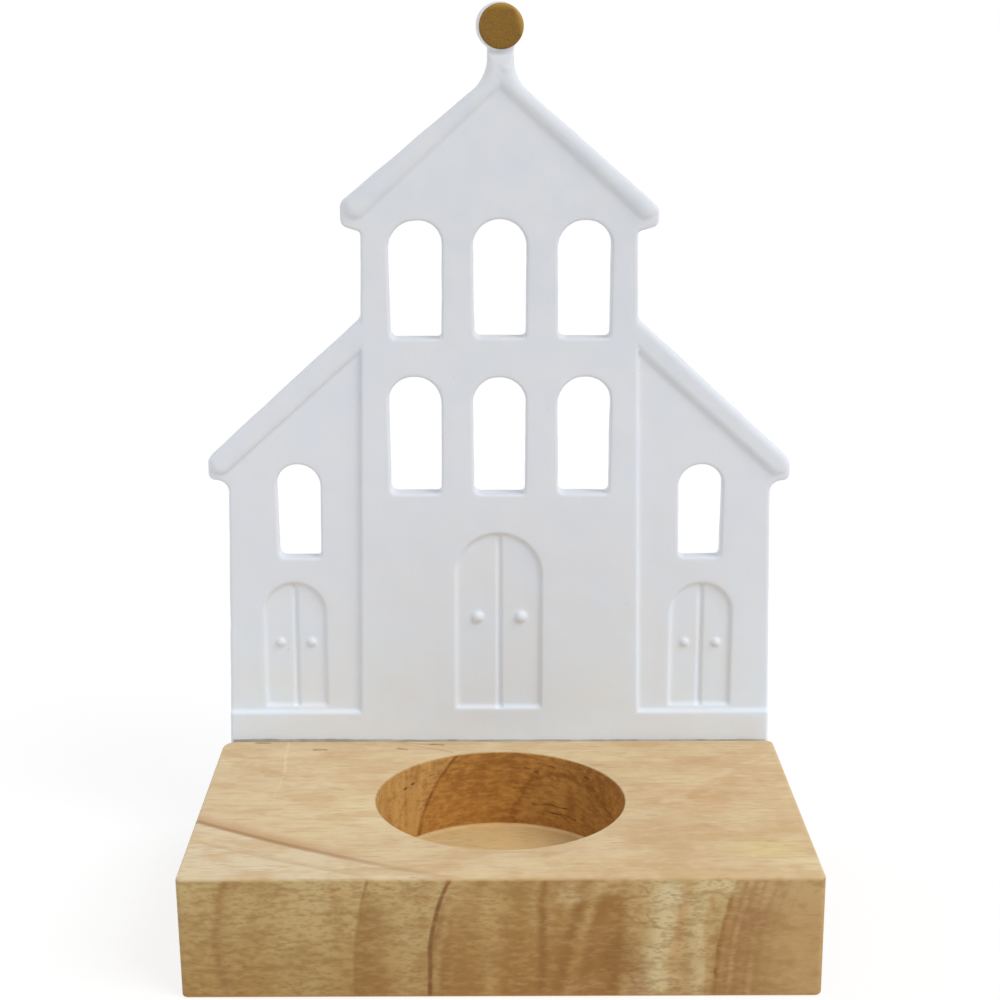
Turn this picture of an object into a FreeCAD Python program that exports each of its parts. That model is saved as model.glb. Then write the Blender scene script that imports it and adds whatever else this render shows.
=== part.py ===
"""Tealight house: a porcelain facade glued to the back of a wood block with a tealight pocket.

Millimetres. X is the width, Y the depth with the front at -Y, and Z the height.
The origin is at the middle of the footprint, on the table.
"""
import FreeCAD, Part
import math
import os

# Wood block. The pocket holds a standard tealight.
block_width = 100.0
block_depth = 58.0
block_height = 20.3
block_back_corner_radius = 2.5
block_front_corner_radius = 1.2
block_arris_radius = 0.5
tealight_radius = 19.0
tealight_clearance = 2.0
pocket_depth = 14.2
pocket_front_wall = 10.3
pocket_rim_ease = 0.4

# Glue film between the block's back and the facade.
glue_thickness = 0.3
glue_side_margin = 2.6
glue_edge_margin = 0.7

# Facade slab. The wings lie back from the tower's face, and the gable's bars stand out from it.
facade_thickness = 4.2
wing_recess = 0.8
gable_bar_rise = 0.7
facade_foot_gap = 0.3
edge_radius = 0.6
eave_corner_radius = 1.0

# Wings, with their lean-to roofs. The foot strip and the walls are measured from the block's top.
plinth_rise = 5.5
wing_foot_half = 49.5
wing_batter_deg = 1.4
wing_wall_rise = 48.2
wing_eave_half = 51.4
wing_eave_lift = 0.8
wing_eave_side = 3.9
wing_eave_cove_radius = 1.6
wing_roof_pitch_deg = 42.9
wing_roof_cove_radius = 2.0
wing_roof_root = 4.0
wing_bar_eave_width = 4.1
wing_bar_tower_drop = 6.4
wing_bar_end_inset = 0.7

# Tower, with its gable, neck and disc. Its walls are measured from the top of the wing roofs.
tower_foot_half = 25.7
tower_batter_deg = 0.94
tower_wall_rise = 12.9
gable_eave_half = 27.3
gable_eave_lift = 1.1
gable_eave_side = 5.6
gable_eave_cove_radius = 0.7
gable_pitch_deg = 39.6
gable_bar_apex_drop = 3.7
gable_bar_eave_width = 4.45
gable_bar_end_inset = 0.3
neck_half = 2.3
neck_cove_radius = 6.0
disc_radius = 4.0
disc_thickness = 4.9
disc_edge_radius = 1.2
disc_rise = 6.4

# Gold coat on the disc's front.
gold_thickness = 0.12
gold_margin = 0.25

# Windows, all the way through. Their heads stand above the top of the wall that they are in.
# A place share runs from the tower's side to the wing's wall.
tower_window_half = 4.7
tower_window_pier = 5.3
upper_window_lift = 3.3
upper_window_height = 20.4
window_row_gap = 6.7
lower_window_height = 21.0
wing_window_half = 3.9
wing_window_place_share = 0.458
wing_window_lift = 3.4
wing_window_height = 17.1
window_corner_radius = 0.9
window_edge_radius = 0.6

# Doors, sunk a little into the face, each with a groove between its two leaves and a knob on each.
door_recess = 0.5
door_groove_width = 0.7
door_groove_depth = 0.3
door_groove_end_gap = 0.7
tower_door_half = 7.6
tower_door_sill_gap = 0.8
tower_door_head_gap = 7.3
wing_door_half = 5.4
wing_door_place_share = 0.475
wing_door_sill_gap = 1.7
wing_door_head_gap = 4.4
tower_knob_radius = 1.05
tower_knob_offset = 3.9
tower_knob_rise = 17.0
wing_knob_radius = 0.8
wing_knob_offset = 2.75
wing_knob_rise = 11.5

# Cutting tools run past the faces by this much, and lengths match within the tolerance.
overrun = 2.0
tolerance = 0.001


def slope(angle_deg):
    """Rise per unit of run."""
    return math.tan(math.radians(angle_deg))


def wing_half(height):
    """Half width of the wing walls, which draw in with height."""
    return wing_foot_half - height * slope(wing_batter_deg)


def tower_half(height):
    """Half width of the tower, which draws in with height."""
    return tower_foot_half - height * slope(tower_batter_deg)


def wing_place(height, share):
    """Distance from the middle at a share of the way from the tower's side to the wing's wall."""
    return tower_half(height) + share * (wing_half(height) - tower_half(height))


# Depths, from the front of the block to the back of the facade.
front_y = -(block_depth + glue_thickness + facade_thickness) / 2
block_back_y = front_y + block_depth
tower_face_y = block_back_y + glue_thickness
wing_face_y = tower_face_y + wing_recess
back_y = tower_face_y + facade_thickness
pocket_radius = tealight_radius + tealight_clearance
pocket_y = front_y + pocket_front_wall + pocket_radius

# Heights above the table, from the foot to the disc.
plinth_top = block_height + plinth_rise
wing_wall_top = block_height + wing_wall_rise
wing_eave_under = wing_wall_top + wing_eave_lift
wing_eave_top = wing_eave_under + wing_eave_side
wing_slope = slope(wing_roof_pitch_deg)
wing_root_half = tower_half(wing_eave_top + (wing_eave_half - tower_foot_half) * wing_slope)
wing_root_top = wing_eave_top + (wing_eave_half - wing_root_half) * wing_slope
tower_wall_top = wing_root_top + tower_wall_rise
gable_eave_under = tower_wall_top + gable_eave_lift
gable_eave_top = gable_eave_under + gable_eave_side
gable_slope = slope(gable_pitch_deg)
gable_top = gable_eave_top + gable_eave_half * gable_slope
disc_height = gable_top + disc_rise

# Windows and doors, from the top down.
upper_head = tower_wall_top + upper_window_lift
upper_sill = upper_head - upper_window_height
lower_head = upper_sill - window_row_gap
lower_sill = lower_head - lower_window_height
wing_head = wing_wall_top + wing_window_lift
wing_sill = wing_head - wing_window_height
tower_window_spacing = 2 * tower_window_half + tower_window_pier
wing_window_x = wing_place(wing_sill, wing_window_place_share)
tower_door_sill = plinth_top + tower_door_sill_gap
tower_door_head = lower_sill - tower_door_head_gap
wing_door_sill = plinth_top + wing_door_sill_gap
wing_door_head = wing_sill - wing_door_head_gap
wing_door_x = wing_place(wing_door_sill, wing_door_place_share)


def wing_roof_height(half):
    """Height of the wing roof's outer line at a distance from the middle."""
    return wing_eave_top + (wing_eave_half - half) * wing_slope


def gable_height(half):
    """Height of the gable's outer line at a distance from the middle."""
    return gable_top - half * gable_slope


def point(x, z, y=0.0):
    return FreeCAD.Vector(x, y, z)


def rounded_face(corners, y):
    """Flat face in a plane of constant Y. Each corner is x, z and a radius, zero for a sharp one."""
    spots = [point(x, z, y) for x, z, _ in corners]
    count = len(corners)
    turns = []
    for i, (_, _, radius) in enumerate(corners):
        here = spots[i]
        to_last = spots[i - 1] - here
        to_next = spots[(i + 1) % count] - here
        half_angle = to_last.getAngle(to_next) / 2
        room = min(to_last.Length, to_next.Length) / 2
        reach = min(radius / math.tan(half_angle), room)
        fitted = reach * math.tan(half_angle)
        to_last.normalize()
        to_next.normalize()
        bisector = (to_last + to_next).normalize()
        middle = here + bisector * (fitted / math.sin(half_angle) - fitted)
        turns.append((here + to_last * reach, middle, here + to_next * reach, fitted))
    edges = []
    for i, (start, middle, end, fitted) in enumerate(turns):
        if fitted > tolerance:
            edges.append(Part.Arc(start, middle, end).toShape())
        following = turns[(i + 1) % count][0]
        if end.distanceToPoint(following) > tolerance:
            edges.append(Part.LineSegment(end, following).toShape())
    return Part.Face(Part.Wire(Part.__sortEdges__(edges)))


def prism(corners, near_y, far_y):
    """Solid between two planes of constant Y."""
    return rounded_face(corners, far_y).extrude(FreeCAD.Vector(0, near_y - far_y, 0))


def mirrored(half_corners):
    """Closed outline from its right half, listed from the bottom to the top."""
    return half_corners + [(-x, z, radius) for x, z, radius in reversed(half_corners)]


def rim_edges(solid, y, inside=None):
    """Edges that lie in a plane of constant Y, if need be only those within x and z limits."""
    found = []
    for edge in solid.Edges:
        box = edge.BoundBox
        if abs(box.YMin - y) > tolerance or abs(box.YMax - y) > tolerance:
            continue
        if inside is not None:
            low_x, high_x, low_z, high_z = inside
            if box.XMin < low_x or box.XMax > high_x or box.ZMin < low_z or box.ZMax > high_z:
                continue
        found.append(edge)
    return found


def arch_corners(x, half, sill, head, corner_radius):
    """Outline with a flat sill and a round head."""
    return [
        (x - half, sill, corner_radius),
        (x + half, sill, corner_radius),
        (x + half, head, half),
        (x - half, head, half),
    ]


def block_blank():
    """Block before the pocket, with rounded upright corners and eased arrises."""
    side = block_width / 2
    box = Part.makeBox(block_width, block_depth, block_height, FreeCAD.Vector(-side, front_y, 0))
    upright = [edge for edge in box.Edges if edge.BoundBox.ZLength > block_height - tolerance]
    front = [edge for edge in upright if edge.BoundBox.YMax < front_y + tolerance]
    box = box.makeFillet(block_front_corner_radius, front)
    upright = [edge for edge in box.Edges if edge.BoundBox.ZLength > block_height - tolerance]
    back = [edge for edge in upright if edge.BoundBox.YMin > block_back_y - tolerance]
    box = box.makeFillet(block_back_corner_radius, back)
    flat = [edge for edge in box.Edges if edge.BoundBox.ZLength < tolerance]
    return box.makeFillet(block_arris_radius, flat)


def wood_block():
    """Block with the round pocket, whose rim is eased."""
    floor = FreeCAD.Vector(0, pocket_y, block_height - pocket_depth)
    pocket = Part.makeCylinder(pocket_radius, pocket_depth + overrun, floor)
    ease_foot = FreeCAD.Vector(0, pocket_y, block_height - pocket_rim_ease)
    ease = Part.makeCone(pocket_radius, pocket_radius + pocket_rim_ease, pocket_rim_ease, ease_foot)
    return block_blank().cut(pocket).cut(ease)


def glue_film():
    """Film on the block's flat back, a little inside its rounded edges."""
    side = block_width / 2 - glue_side_margin
    top = block_height - glue_edge_margin
    corners = [
        (-side, glue_edge_margin, 0),
        (side, glue_edge_margin, 0),
        (side, top, 0),
        (-side, top, 0),
    ]
    return prism(corners, block_back_y, tower_face_y)


def wing_outline():
    """Both wings in one outline, which also backs the tower."""
    return mirrored([
        (wing_half(facade_foot_gap), facade_foot_gap, edge_radius),
        (wing_half(wing_wall_top), wing_wall_top, wing_eave_cove_radius),
        (wing_eave_half, wing_eave_under, eave_corner_radius),
        (wing_eave_half, wing_eave_top, eave_corner_radius),
        (wing_root_half, wing_root_top, wing_roof_cove_radius),
        (wing_root_half, wing_root_top + wing_roof_root, 0),
    ])


def tower_outline():
    """Tower, gable and neck in one outline."""
    return mirrored([
        (tower_half(facade_foot_gap), facade_foot_gap, 0),
        (tower_half(tower_wall_top), tower_wall_top, gable_eave_cove_radius),
        (gable_eave_half, gable_eave_under, eave_corner_radius),
        (gable_eave_half, gable_eave_top, eave_corner_radius),
        (neck_half, gable_height(neck_half), neck_cove_radius),
        (neck_half, disc_height, 0),
    ])


def rounded_slab(corners, near_y):
    """Slab from the facade's back to a nearer plane, with all its rims rounded."""
    slab = prism(corners, near_y, back_y)
    return slab.makeFillet(edge_radius, rim_edges(slab, near_y) + rim_edges(slab, back_y))


def plinth(side):
    """Foot strip of one wing, level with the tower's face."""
    inner = tower_half(plinth_top) - overrun
    corners = [
        (side * inner, facade_foot_gap, 0),
        (side * wing_half(facade_foot_gap), facade_foot_gap, edge_radius),
        (side * wing_half(plinth_top), plinth_top, edge_radius),
        (side * inner, plinth_top, 0),
    ]
    return rounded_slab(corners, tower_face_y)


def bar_end(end, width, pitch_deg, roof_height):
    """Lower and upper corner of a strip's end, square to the roof and fully rounded."""
    radius = width / 2
    run = radius * math.cos(math.radians(pitch_deg))
    rise = radius * math.sin(math.radians(pitch_deg))
    x = end - radius
    z = roof_height(x) - radius * radius / run
    return [(x + run - rise, z - rise - run, radius), (x + run + rise, z - rise + run, radius)]


def wing_bar(side):
    """Strip along one wing's roof, level with the tower's face and round at the eave."""
    end = wing_eave_half - wing_bar_end_inset
    inner = wing_root_half - overrun
    corners = [(inner, wing_roof_height(inner) - wing_bar_tower_drop, 0)]
    corners += bar_end(end, wing_bar_eave_width, wing_roof_pitch_deg, wing_roof_height)
    corners.append((inner, wing_roof_height(inner), 0))
    corners = [(side * x, z, radius) for x, z, radius in corners]
    bar = prism(corners, tower_face_y, back_y - edge_radius)
    return bar.makeFillet(edge_radius, rim_edges(bar, tower_face_y))


def gable_bars():
    """The two strips along the gable in one chevron, round at the eaves and proud of the face."""
    end = gable_eave_half - gable_bar_end_inset
    right = bar_end(end, gable_bar_eave_width, gable_pitch_deg, gable_height)
    right.append((neck_half, gable_height(neck_half), 0))
    left = [(-x, z, radius) for x, z, radius in reversed(right)]
    inner = [(0, gable_top - gable_bar_apex_drop, 0)]
    near_y = tower_face_y - gable_bar_rise
    bars = prism(inner + right + left, near_y, back_y - edge_radius)
    return bars.makeFillet(edge_radius, rim_edges(bars, near_y))


def finial_disc(radius, near_y, rim_radius):
    """Round disc on the neck with rounded rims."""
    centre = FreeCAD.Vector(0, back_y, disc_height)
    disc = Part.makeCylinder(radius, back_y - near_y, centre, FreeCAD.Vector(0, -1, 0))
    return disc.makeFillet(rim_radius, rim_edges(disc, near_y) + rim_edges(disc, back_y))


def door(x, half, sill, head, face_y):
    """Tool that sinks a door and cuts the groove between its leaves."""
    panel = prism(arch_corners(x, half, sill, head, 0), face_y - overrun, face_y + door_recess)
    groove_corners = arch_corners(x, door_groove_width / 2, sill, head - door_groove_end_gap, 0)
    groove = prism(groove_corners, face_y - overrun, face_y + door_recess + door_groove_depth)
    return panel.fuse(groove)


def knob(x, z, radius, face_y):
    """Round bump on a door leaf."""
    return Part.makeSphere(radius, point(x, z, face_y + door_recess))


def windows():
    """Every window: x, half width, sill, head and the face that it starts from."""
    found = []
    for sill, head in ((upper_sill, upper_head), (lower_sill, lower_head)):
        for column in (-1, 0, 1):
            found.append((column * tower_window_spacing, tower_window_half, sill, head, tower_face_y))
    for side in (-1, 1):
        found.append((side * wing_window_x, wing_window_half, wing_sill, wing_head, wing_face_y))
    return found


def with_window(body, x, half, sill, head, face_y):
    """The body with one window cut through it, and the window's rims rounded."""
    corners = arch_corners(x, half, sill, head, window_corner_radius)
    body = body.cut(prism(corners, face_y - overrun, back_y + overrun))
    inside = (x - half - tolerance, x + half + tolerance, sill - tolerance, head + tolerance)
    rims = rim_edges(body, face_y, inside) + rim_edges(body, back_y, inside)
    return body.makeFillet(window_edge_radius, rims)


def porcelain_facade():
    """The whole casting: slabs, strips, disc, sunk doors with knobs, and windows."""
    pieces = [rounded_slab(tower_outline(), tower_face_y), gable_bars()]
    pieces.append(finial_disc(disc_radius, back_y - disc_thickness, disc_edge_radius))
    for side in (-1, 1):
        pieces.append(plinth(side))
        pieces.append(wing_bar(side))
    body = rounded_slab(wing_outline(), wing_face_y).multiFuse(pieces)
    doors = [door(0, tower_door_half, tower_door_sill, tower_door_head, tower_face_y)]
    knobs = []
    tower_knob_height = tower_door_sill + tower_knob_rise
    wing_knob_height = wing_door_sill + wing_knob_rise
    for side in (-1, 1):
        x = side * wing_door_x
        doors.append(door(x, wing_door_half, wing_door_sill, wing_door_head, wing_face_y))
        knobs.append(knob(side * tower_knob_offset, tower_knob_height, tower_knob_radius, tower_face_y))
        for leaf in (-1, 1):
            knobs.append(knob(x + leaf * wing_knob_offset, wing_knob_height, wing_knob_radius, wing_face_y))
    body = body.cut(doors).multiFuse(knobs)
    for x, half, sill, head, face_y in windows():
        body = with_window(body, x, half, sill, head, face_y)
    return body


def finial_gold_coat():
    """Thin coat on the disc's front that wraps a little way over its rounded rim."""
    near_y = back_y - disc_thickness
    disc = finial_disc(disc_radius, near_y, disc_edge_radius)
    grown_rim = disc_edge_radius + gold_thickness
    grown = finial_disc(disc_radius + gold_thickness, near_y - gold_thickness, grown_rim)
    middle = FreeCAD.Vector(0, back_y - disc_thickness / 2, disc_height)
    reach = disc_thickness / 2 + overrun
    patch = Part.makeCylinder(disc_radius - gold_margin, reach, middle, FreeCAD.Vector(0, -1, 0))
    return grown.cut(disc).common(patch)


nodes = {
    "wood_block": wood_block,
    "glue_film": glue_film,
    "porcelain_facade": porcelain_facade,
    "finial_gold_coat": finial_gold_coat,
}

os.makedirs("parts", exist_ok=True)
for name, make in nodes.items():
    shape = make()
    solids = shape.Solids
    if len(solids) == 1:
        shape = solids[0]
    shape.exportStep("parts/" + name + ".step")
    print(name, len(solids), "solid(s), valid", shape.isValid(), "volume", round(shape.Volume, 2))
print("mouth of the pocket at y", pocket_y, "radius", pocket_radius)
print("faces at y", front_y, block_back_y, tower_face_y, wing_face_y, back_y)
print("window sills and heads", upper_sill, upper_head, lower_sill, lower_head, wing_sill, wing_head)
print("window places", tower_window_spacing, wing_window_x)
print("door sills and heads", tower_door_sill, tower_door_head, wing_door_sill, wing_door_head)
print("heights", wing_root_top, gable_eave_top, gable_top, disc_height, disc_height + disc_radius)
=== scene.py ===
"""Tealight house: the finer shapes and the finishes of the porcelain, the wood, the glue and the gold."""

import math

import bmesh
import bpy
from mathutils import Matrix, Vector


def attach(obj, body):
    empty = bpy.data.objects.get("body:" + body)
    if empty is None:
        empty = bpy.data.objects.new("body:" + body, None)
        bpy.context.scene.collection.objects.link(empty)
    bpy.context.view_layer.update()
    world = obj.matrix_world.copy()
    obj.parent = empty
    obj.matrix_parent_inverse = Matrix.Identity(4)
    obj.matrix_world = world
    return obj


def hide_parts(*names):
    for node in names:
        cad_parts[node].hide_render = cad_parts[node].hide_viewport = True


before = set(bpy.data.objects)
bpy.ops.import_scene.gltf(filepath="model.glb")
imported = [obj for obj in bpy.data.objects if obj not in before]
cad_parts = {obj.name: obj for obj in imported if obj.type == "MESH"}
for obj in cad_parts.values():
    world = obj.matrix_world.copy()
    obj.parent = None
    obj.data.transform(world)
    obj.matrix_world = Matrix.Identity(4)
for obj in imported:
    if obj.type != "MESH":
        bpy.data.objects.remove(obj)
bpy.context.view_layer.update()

# Sizes are in millimetres, the same as in the part.
BLOCK_FRONT, BLOCK_BACK, BLOCK_TOP, BLOCK_SIDE = -31.25, 26.75, 20.3, 50.0
POCKET_Y, POCKET_RADIUS, POCKET_FLOOR = 0.05, 21.0, 6.1
TOWER_FACE, WING_FACE, CASTING_BACK = 27.05, 27.85, 31.25
CASTING_FOOT = 0.3
PLINTH_TOP = 25.8
WING_ROOT_HALF = 24.107
GABLE_EAVE_UNDER = 113.85
DISC_HEIGHT, DISC_RADIUS, DISC_DEPTH = 147.1, 4.0, 4.9
STRIPS_END = 142.7  # the gable's strips stop below the gold paint
DOOR_SUNK = 0.65
WALL_RIM = 0.45  # rounding of the casting's outer edges
SKIN_GRAIN = 0.21  # width of the cells that the casting's skin is made of
SKIN_KEPT = 0.18  # share of the skin's faces that stay
MERGE_REACH = 0.03  # corners closer together than this become one
SAME_PLACE = 0.001  # places closer together than this count as one
TO_METRES = 0.001


# ---------- Hand work: picking and shaping ----------

def put_down():
    """Ends any shaping and picks nothing."""
    if bpy.context.object and bpy.context.object.mode == "EDIT":
        bpy.ops.object.mode_set(mode="OBJECT")
    bpy.ops.object.select_all(action="DESELECT")


def pick(piece):
    """Picks one piece alone."""
    put_down()
    piece.select_set(True)
    bpy.context.view_layer.objects.active = piece


def pick_parts(piece, kind, fits):
    """In edit mode, picks the verts, edges or faces of a piece that fit."""
    bpy.ops.mesh.select_mode(type={"verts": "VERT", "edges": "EDGE", "faces": "FACE"}[kind])
    bpy.ops.mesh.select_all(action="DESELECT")
    mesh = bmesh.from_edit_mesh(piece.data)
    for part in getattr(mesh, kind):
        if fits(part):
            part.select_set(True)
    bmesh.update_edit_mesh(piece.data)


def new_piece(name):
    """Takes the primitive that was just added and opens it for shaping."""
    piece = bpy.context.object
    piece.name = piece.data.name = name
    bpy.ops.object.mode_set(mode="EDIT")
    bpy.ops.mesh.select_mode(type="VERT")
    bpy.ops.mesh.select_all(action="SELECT")
    return piece


def settle(name):
    """Fixes the primitive that was just added in its place and opens it for shaping."""
    bpy.ops.object.transform_apply(location=True, rotation=True, scale=True)
    return new_piece(name)


def open_up(piece):
    """Opens a finished piece for more shaping."""
    pick(piece)
    bpy.ops.object.mode_set(mode="EDIT")


def apply_modifier(piece, kind, **settings):
    """Adds one modifier and applies it."""
    pick(piece)
    modifier = piece.modifiers.new(kind.title(), kind)
    for setting, value in settings.items():
        setattr(modifier, setting, value)
    bpy.ops.object.modifier_apply(modifier=modifier.name)


def combine(body, tool, operation):
    """Joins a tool to a body, or cuts it away, and clears the tool."""
    apply_modifier(body, "BOOLEAN", operation=operation, solver="EXACT", object=tool)
    bpy.data.objects.remove(tool)


def board(name, corners, near_y, far_y, rim=0.0, rim_steps=4, back_rim=0.0):
    """Board between two depths, drawn corner by corner: x, z and the corner's radius."""
    put_down()
    bpy.ops.mesh.primitive_plane_add(size=2)
    piece = new_piece(name)
    bpy.ops.mesh.merge(type="CENTER")
    spots = [Vector((x, far_y, z)) for x, z, _ in corners]
    bpy.ops.transform.translate(value=spots[0])
    for last, following in zip(spots, spots[1:]):
        bpy.ops.mesh.extrude_vertices_move(TRANSFORM_OT_translate={"value": following - last})
    bpy.ops.mesh.select_all(action="SELECT")
    bpy.ops.mesh.edge_face_add()
    for i, (_, _, radius) in enumerate(corners):
        if radius:
            to_last = spots[i - 1] - spots[i]
            to_next = spots[(i + 1) % len(spots)] - spots[i]
            half_angle = to_last.angle(to_next) / 2
            reach = min(radius / math.tan(half_angle), 0.499 * min(to_last.length, to_next.length))
            pick_parts(piece, "verts", lambda vert: (vert.co - spots[i]).length < SAME_PLACE)
            bpy.ops.mesh.bevel(offset=reach, segments=10, affect="VERTICES")
    bpy.ops.mesh.select_all(action="SELECT")
    bpy.ops.mesh.remove_doubles(threshold=MERGE_REACH)
    bpy.ops.mesh.select_mode(type="FACE")
    bpy.ops.mesh.select_all(action="SELECT")
    bpy.ops.mesh.extrude_region_move(TRANSFORM_OT_translate={"value": (0, near_y - far_y, 0)})
    bpy.ops.mesh.select_all(action="SELECT")
    bpy.ops.mesh.normals_make_consistent(inside=False)
    for y, offset in ((near_y, rim), (far_y, back_rim)):
        if offset:
            pick_parts(piece, "edges", lambda edge: all(abs(vert.co.y - y) < SAME_PLACE for vert in edge.verts))
            bpy.ops.mesh.bevel(offset=offset, segments=rim_steps, affect="EDGES", clamp_overlap=False)
    put_down()
    return piece


# ---------- Porcelain ----------

# The halves of the casting differ a little. The left one is -1 and the right one 1.
WING_WALL_HALF = {-1: 49.65, 1: 49.75}
WING_EAVE = {-1: (51.5, 69.15, 72.8), 1: (51.5, 68.95, 72.3)}
WING_SLOPE = {-1: 0.912, 1: 0.925}
GABLE_EAVE = {-1: 27.3, 1: 27.4}
GABLE_LINE = {-1: 140.33, 1: 140.6}
GABLE_SLOPE = {-1: 0.827, 1: 0.866}
NECK_SIDE = {-1: -2.1, 1: 2.45}
TOWER_WALL_HALF = 25.7
TOWER_DRAFT, WING_DRAFT = 0.94, 1.4  # how far the walls lean in, in degrees


def tower_half(height):
    """How far from the middle the tower's side wall is at a height."""
    return TOWER_WALL_HALF - height * math.tan(math.radians(TOWER_DRAFT))


def wing_half(side, height):
    """The same for a wing's side wall."""
    return WING_WALL_HALF[side] - height * math.tan(math.radians(WING_DRAFT))


def wing_roof(side, half):
    """Height of a wing's roof at a distance from the middle."""
    reach, _, top = WING_EAVE[side]
    return top + (reach - half) * WING_SLOPE[side]


def gable_roof(side, half):
    """Height of the gable's roof at a distance from the middle."""
    return GABLE_LINE[side] - half * GABLE_SLOPE[side]


def strip_end(side, x, z, radius, slope):
    """Lower and upper corner of a roof strip's round end, from the middle of its rounding."""
    pitch = math.atan(slope)
    run, rise = radius * math.cos(pitch), radius * math.sin(pitch)
    return [(x + side * (run - rise), z - rise - run, radius), (x + side * (run + rise), z - rise + run, radius)]


def closed(half):
    """Closed outline from its two halves, each given from the bottom up."""
    return half(1) + half(-1)[::-1]


def wing_outline(side):
    reach, under, top = WING_EAVE[side]
    root = wing_roof(side, WING_ROOT_HALF)
    return [
        (side * wing_half(side, CASTING_FOOT), CASTING_FOOT, 0.6),
        (side * wing_half(side, under - 0.6), under - 0.6, 2.1),
        (side * reach, under, 1.1),
        (side * reach, top, 1.4),
        (side * WING_ROOT_HALF, root, 2.4),
        (side * WING_ROOT_HALF, root + 4, 0),
    ]


def neck_outline(side, end=DISC_HEIGHT):
    """Where the roof turns up into the neck, and the neck's end."""
    x = NECK_SIDE[side]
    return [(x, gable_roof(side, abs(x)), 6.5), (x, end, 0)]


def tower_outline(side):
    reach = GABLE_EAVE[side]
    return [
        (side * tower_half(CASTING_FOOT), CASTING_FOOT, 0),
        (side * tower_half(GABLE_EAVE_UNDER), GABLE_EAVE_UNDER - 1.0, 0.6),
        (side * reach, GABLE_EAVE_UNDER, 1.3),
        (side * reach, gable_roof(side, reach), 1.6),
    ] + neck_outline(side)


def gable_strips_outline():
    """The two strips along the gable, which meet below the neck and run up into it."""
    right = strip_end(1, 25.15, 116.75, 1.6, GABLE_SLOPE[1]) + neck_outline(1, STRIPS_END)
    left = strip_end(-1, -24.5, 117.15, 2.05, GABLE_SLOPE[-1]) + neck_outline(-1, STRIPS_END)
    return [(0.1, 137.2, 0)] + right + left[::-1]


def wing_strip_outline(side):
    inner = WING_ROOT_HALF - 2
    x, z, radius = {-1: (-49.2, 72.15, 1.95), 1: (49.35, 71.9, 1.85)}[side]
    strip = [(side * inner, 94.0, 0)] + strip_end(side, x, z, radius, WING_SLOPE[side])
    return strip + [(side * inner, wing_roof(side, inner) + 0.01, 0)]


def foot_strip_outline(side):
    inner = tower_half(PLINTH_TOP) - 2
    return [
        (side * inner, CASTING_FOOT, 0),
        (side * wing_half(side, CASTING_FOOT), CASTING_FOOT, 0.6),
        (side * wing_half(side, PLINTH_TOP), PLINTH_TOP, 0.5),
        (side * inner, PLINTH_TOP, 0),
    ]


def arch(x, half, sill, head, corner):
    """Outline with a flat sill and a round head."""
    return [(x - half, sill, corner), (x + half, sill, corner), (x + half, head, half), (x - half, head, half)]


def window_arch(x, half, sill, head, left_round, right_round):
    """Arch of a window, which narrows a little to its sill and is rounder at one shoulder."""
    return [(x - half + 0.3, sill, 1.2), (x + half - 0.15, sill, 0.8), (x + half, head, right_round),
            (x - half, head - 0.1, left_round)]


def flare(cutter, outward, x, half, sill, head, rings):
    """Widens one end of a cutter in rings, each further out: how far it goes and how much it grows."""
    open_up(cutter)
    pick_parts(cutter, "faces", lambda face: face.normal.y * outward > 0.9)
    last_grow = 0.0
    for step, grow in rings:
        wider, higher = ((reach + grow) / (reach + last_grow) for reach in (half, (head - sill) / 2))
        bpy.ops.mesh.extrude_region_move(TRANSFORM_OT_translate={"value": (0, step * outward, 0)})
        bpy.ops.transform.resize(value=(wider, 1, higher), center_override=(x, 0, (sill + head) / 2))
        last_grow = grow
    put_down()


def window_cutter(x, half, sill, head, left_round, right_round, near_y):
    """Arched cutter that flares at both faces, so that it leaves round edges."""
    outline = window_arch(x, half, sill, head, left_round, right_round)
    flare_depth = 0.77
    cutter = board("window_cutter", outline, near_y + flare_depth, CASTING_BACK - flare_depth)
    for outward in (-1, 1):
        rings = [(0.35, 0.02), (0.2, 0.07), (0.15, 0.18), (0.1, 0.34), (0.6, 0.9)]
        flare(cutter, outward, x, half, sill, head, rings)
    return cutter


def door_cutter(x, half, sill, head, floor_y, depth):
    """Arched cutter for a sunk door, with sloping sides."""
    cutter = board("door_cutter", arch(x, half, sill, head, 0.4), floor_y - 0.12, floor_y)
    rings = [(depth * 0.35, 0.14), (depth * 0.35, 0.34), (depth * 0.3 - 0.09, 0.55), (1.0, 0.6)]
    flare(cutter, -1, x, half, sill, head, rings)
    return cutter


def groove_cutter(x, sill, head, floor_y):
    """Cutter for the groove between two door leaves: narrow below, wide at the leaves."""
    half = 0.14
    cutter = board("groove_cutter", arch(x, half, sill, head, 0), floor_y + 0.5, floor_y + 0.6)
    flare(cutter, -1, x, half, sill, head, [(0.53, 0.47), (0.4, 0.6)])
    return cutter


def knob(x, z, radius, face_y):
    """Flattened bump: a door's knob, or the one on the neck."""
    put_down()
    bpy.ops.mesh.primitive_uv_sphere_add(segments=24, ring_count=14, radius=radius, location=(x, face_y, z))
    bump = new_piece("knob")
    bpy.ops.transform.resize(value=(1, 0.8, 1), center_override=(x, face_y, z))
    pick(bump)
    bpy.ops.object.transform_apply(location=True, rotation=True, scale=True)
    return bump


def crown(piece, rings):
    """Rounds a strip's front: insets it in rings, each a little further out."""
    open_up(piece)
    pick_parts(piece, "faces", lambda face: face.normal.y < -0.9)
    for inset, rise in rings:
        bpy.ops.mesh.inset(thickness=inset)
        bpy.ops.transform.translate(value=(0, -rise, 0))
    put_down()
    return piece


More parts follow.
